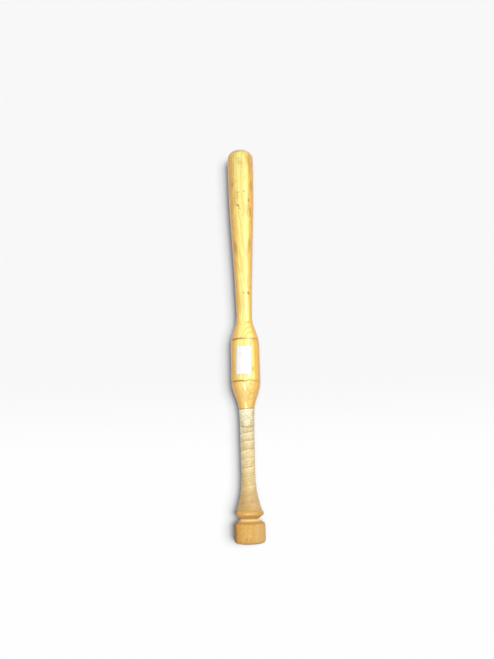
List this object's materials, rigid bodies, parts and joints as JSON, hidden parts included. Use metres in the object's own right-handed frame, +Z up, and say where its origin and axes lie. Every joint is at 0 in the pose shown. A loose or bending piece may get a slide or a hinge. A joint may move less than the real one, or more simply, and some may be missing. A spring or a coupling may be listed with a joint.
{
  "type": "baseball bat",
  "caption": "Turned wooden baseball bat with a tape-wound handle, a knob ring, a heavy end block and a swell above the grip.",
  "frame": {"origin": "centre of the flat butt face, on the bat's axis", "axes": "+Y along the bat's axis towards the barrel's rounded end, +Z up as the bat lies, with the label near +Z"},
  "size_m": [0.063, 0.864, 0.063],
  "materials": {
    "wood": "varnished",
    "tape": "matte",
    "tape_band": "matte",
    "label": "matte"
  },
  "bodies": {
    "root": {"turned_bat": "wood", "grip_tape": "tape", "tape_top_band": "tape_band", "paper_label": "label"}
  },
  "joints": []
}
